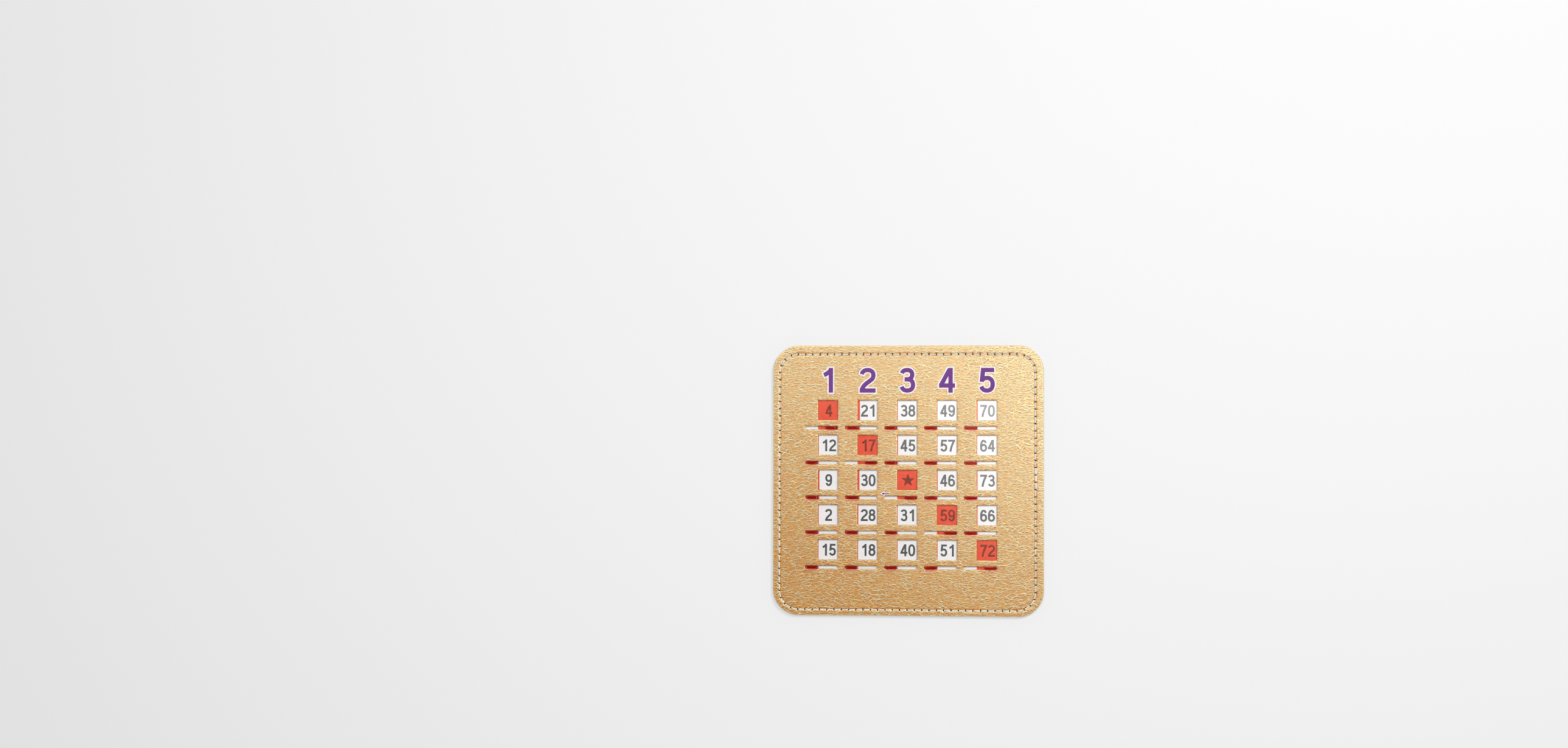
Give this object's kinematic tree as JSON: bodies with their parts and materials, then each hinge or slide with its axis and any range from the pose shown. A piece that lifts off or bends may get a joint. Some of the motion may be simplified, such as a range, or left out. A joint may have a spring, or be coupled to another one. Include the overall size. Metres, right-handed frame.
{
  "type": "bingo card",
  "caption": "Square stitched leatherette game card with number windows, each covered by a translucent sliding shutter with a finger tab",
  "frame": {"origin": "centre of the card's back face, which lies on the table", "axes": "+X to the right as the card is read, +Y towards the heading, +Z out of the face"},
  "size_m": [0.21, 0.21, 0.0079],
  "materials": {
    "leatherette": "grained satin",
    "white_board": "matte",
    "grey_board": "matte",
    "number_paper": "glossy laminate",
    "thread": "twisted thread",
    "shutter_plastic": "translucent moulded"
  },
  "bodies": {
    "card": {"front_leatherette": "leatherette", "front_board": "white_board", "guide_board": "grey_board", "number_card": "number_paper", "back_board": "grey_board", "back_leatherette": "leatherette", "needle_thread": "thread", "bobbin_thread": "thread"},
    "shutter_r1_c1": {"shutter_r1_c1": "shutter_plastic"},
    "shutter_r1_c2": {"shutter_r1_c2": "shutter_plastic"},
    "shutter_r1_c3": {"shutter_r1_c3": "shutter_plastic"},
    "shutter_r1_c4": {"shutter_r1_c4": "shutter_plastic"},
    "shutter_r1_c5": {"shutter_r1_c5": "shutter_plastic"},
    "shutter_r2_c1": {"shutter_r2_c1": "shutter_plastic"},
    "shutter_r2_c2": {"shutter_r2_c2": "shutter_plastic"},
    "shutter_r2_c3": {"shutter_r2_c3": "shutter_plastic"},
    "shutter_r2_c4": {"shutter_r2_c4": "shutter_plastic"},
    "shutter_r2_c5": {"shutter_r2_c5": "shutter_plastic"},
    "shutter_r3_c1": {"shutter_r3_c1": "shutter_plastic"},
    "shutter_r3_c2": {"shutter_r3_c2": "shutter_plastic"},
    "shutter_r3_c3": {"shutter_r3_c3": "shutter_plastic"},
    "shutter_r3_c4": {"shutter_r3_c4": "shutter_plastic"},
    "shutter_r3_c5": {"shutter_r3_c5": "shutter_plastic"},
    "shutter_r4_c1": {"shutter_r4_c1": "shutter_plastic"},
    "shutter_r4_c2": {"shutter_r4_c2": "shutter_plastic"},
    "shutter_r4_c3": {"shutter_r4_c3": "shutter_plastic"},
    "shutter_r4_c4": {"shutter_r4_c4": "shutter_plastic"},
    "shutter_r4_c5": {"shutter_r4_c5": "shutter_plastic"},
    "shutter_r5_c1": {"shutter_r5_c1": "shutter_plastic"},
    "shutter_r5_c2": {"shutter_r5_c2": "shutter_plastic"},
    "shutter_r5_c3": {"shutter_r5_c3": "shutter_plastic"},
    "shutter_r5_c4": {"shutter_r5_c4": "shutter_plastic"},
    "shutter_r5_c5": {"shutter_r5_c5": "shutter_plastic"}
  },
  "joints": [
    {"name": "slide_r1_c1", "type": "slide", "parent": "card", "child": "shutter_r1_c1", "axis": [1, 0, 0], "range_m": [-0.01525, 0]},
    {"name": "slide_r1_c2", "type": "slide", "parent": "card", "child": "shutter_r1_c2", "axis": [1, 0, 0], "range_m": [-0.0015, 0.01375]},
    {"name": "slide_r1_c3", "type": "slide", "parent": "card", "child": "shutter_r1_c3", "axis": [1, 0, 0], "range_m": [-0.0001, 0.01515]},
    {"name": "slide_r1_c4", "type": "slide", "parent": "card", "child": "shutter_r1_c4", "axis": [1, 0, 0], "range_m": [-0.0001, 0.01515]},
    {"name": "slide_r1_c5", "type": "slide", "parent": "card", "child": "shutter_r1_c5", "axis": [1, 0, 0], "range_m": [-0.0005, 0.01475]},
    {"name": "slide_r2_c1", "type": "slide", "parent": "card", "child": "shutter_r2_c1", "axis": [1, 0, 0], "range_m": [-0.0002, 0.01505]},
    {"name": "slide_r2_c2", "type": "slide", "parent": "card", "child": "shutter_r2_c2", "axis": [1, 0, 0], "range_m": [-0.01525, 0]},
    {"name": "slide_r2_c3", "type": "slide", "parent": "card", "child": "shutter_r2_c3", "axis": [1, 0, 0], "range_m": [-0.0003, 0.01495]},
    {"name": "slide_r2_c4", "type": "slide", "parent": "card", "child": "shutter_r2_c4", "axis": [1, 0, 0], "range_m": [-0.0001, 0.01515]},
    {"name": "slide_r2_c5", "type": "slide", "parent": "card", "child": "shutter_r2_c5", "axis": [1, 0, 0], "range_m": [-0.0001, 0.01515]},
    {"name": "slide_r3_c1", "type": "slide", "parent": "card", "child": "shutter_r3_c1", "axis": [1, 0, 0], "range_m": [-0.0008, 0.01445]},
    {"name": "slide_r3_c2", "type": "slide", "parent": "card", "child": "shutter_r3_c2", "axis": [1, 0, 0], "range_m": [-0.0012, 0.01405]},
    {"name": "slide_r3_c3", "type": "slide", "parent": "card", "child": "shutter_r3_c3", "axis": [1, 0, 0], "range_m": [-0.01525, 0]},
    {"name": "slide_r3_c4", "type": "slide", "parent": "card", "child": "shutter_r3_c4", "axis": [1, 0, 0], "range_m": [-0.0003, 0.01495]},
    {"name": "slide_r3_c5", "type": "slide", "parent": "card", "child": "shutter_r3_c5", "axis": [1, 0, 0], "range_m": [-0.0003, 0.01495]},
    {"name": "slide_r4_c1", "type": "slide", "parent": "card", "child": "shutter_r4_c1", "axis": [1, 0, 0], "range_m": [-0.0003, 0.01495]},
    {"name": "slide_r4_c2", "type": "slide", "parent": "card", "child": "shutter_r4_c2", "axis": [1, 0, 0], "range_m": [-0.0004, 0.01485]},
    {"name": "slide_r4_c3", "type": "slide", "parent": "card", "child": "shutter_r4_c3", "axis": [1, 0, 0], "range_m": [-0.0001, 0.01515]},
    {"name": "slide_r4_c4", "type": "slide", "parent": "card", "child": "shutter_r4_c4", "axis": [1, 0, 0], "range_m": [-0.01525, 0]},
    {"name": "slide_r4_c5", "type": "slide", "parent": "card", "child": "shutter_r4_c5", "axis": [1, 0, 0], "range_m": [-0.0003, 0.01495]},
    {"name": "slide_r5_c1", "type": "slide", "parent": "card", "child": "shutter_r5_c1", "axis": [1, 0, 0], "range_m": [-0.0002, 0.01505]},
    {"name": "slide_r5_c2", "type": "slide", "parent": "card", "child": "shutter_r5_c2", "axis": [1, 0, 0], "range_m": [-0.0002, 0.01505]},
    {"name": "slide_r5_c3", "type": "slide", "parent": "card", "child": "shutter_r5_c3", "axis": [1, 0, 0], "range_m": [-0.0001, 0.01515]},
    {"name": "slide_r5_c4", "type": "slide", "parent": "card", "child": "shutter_r5_c4", "axis": [1, 0, 0], "range_m": [-0.0002, 0.01505]},
    {"name": "slide_r5_c5", "type": "slide", "parent": "card", "child": "shutter_r5_c5", "axis": [1, 0, 0], "range_m": [-0.01525, 0]}
  ]
}
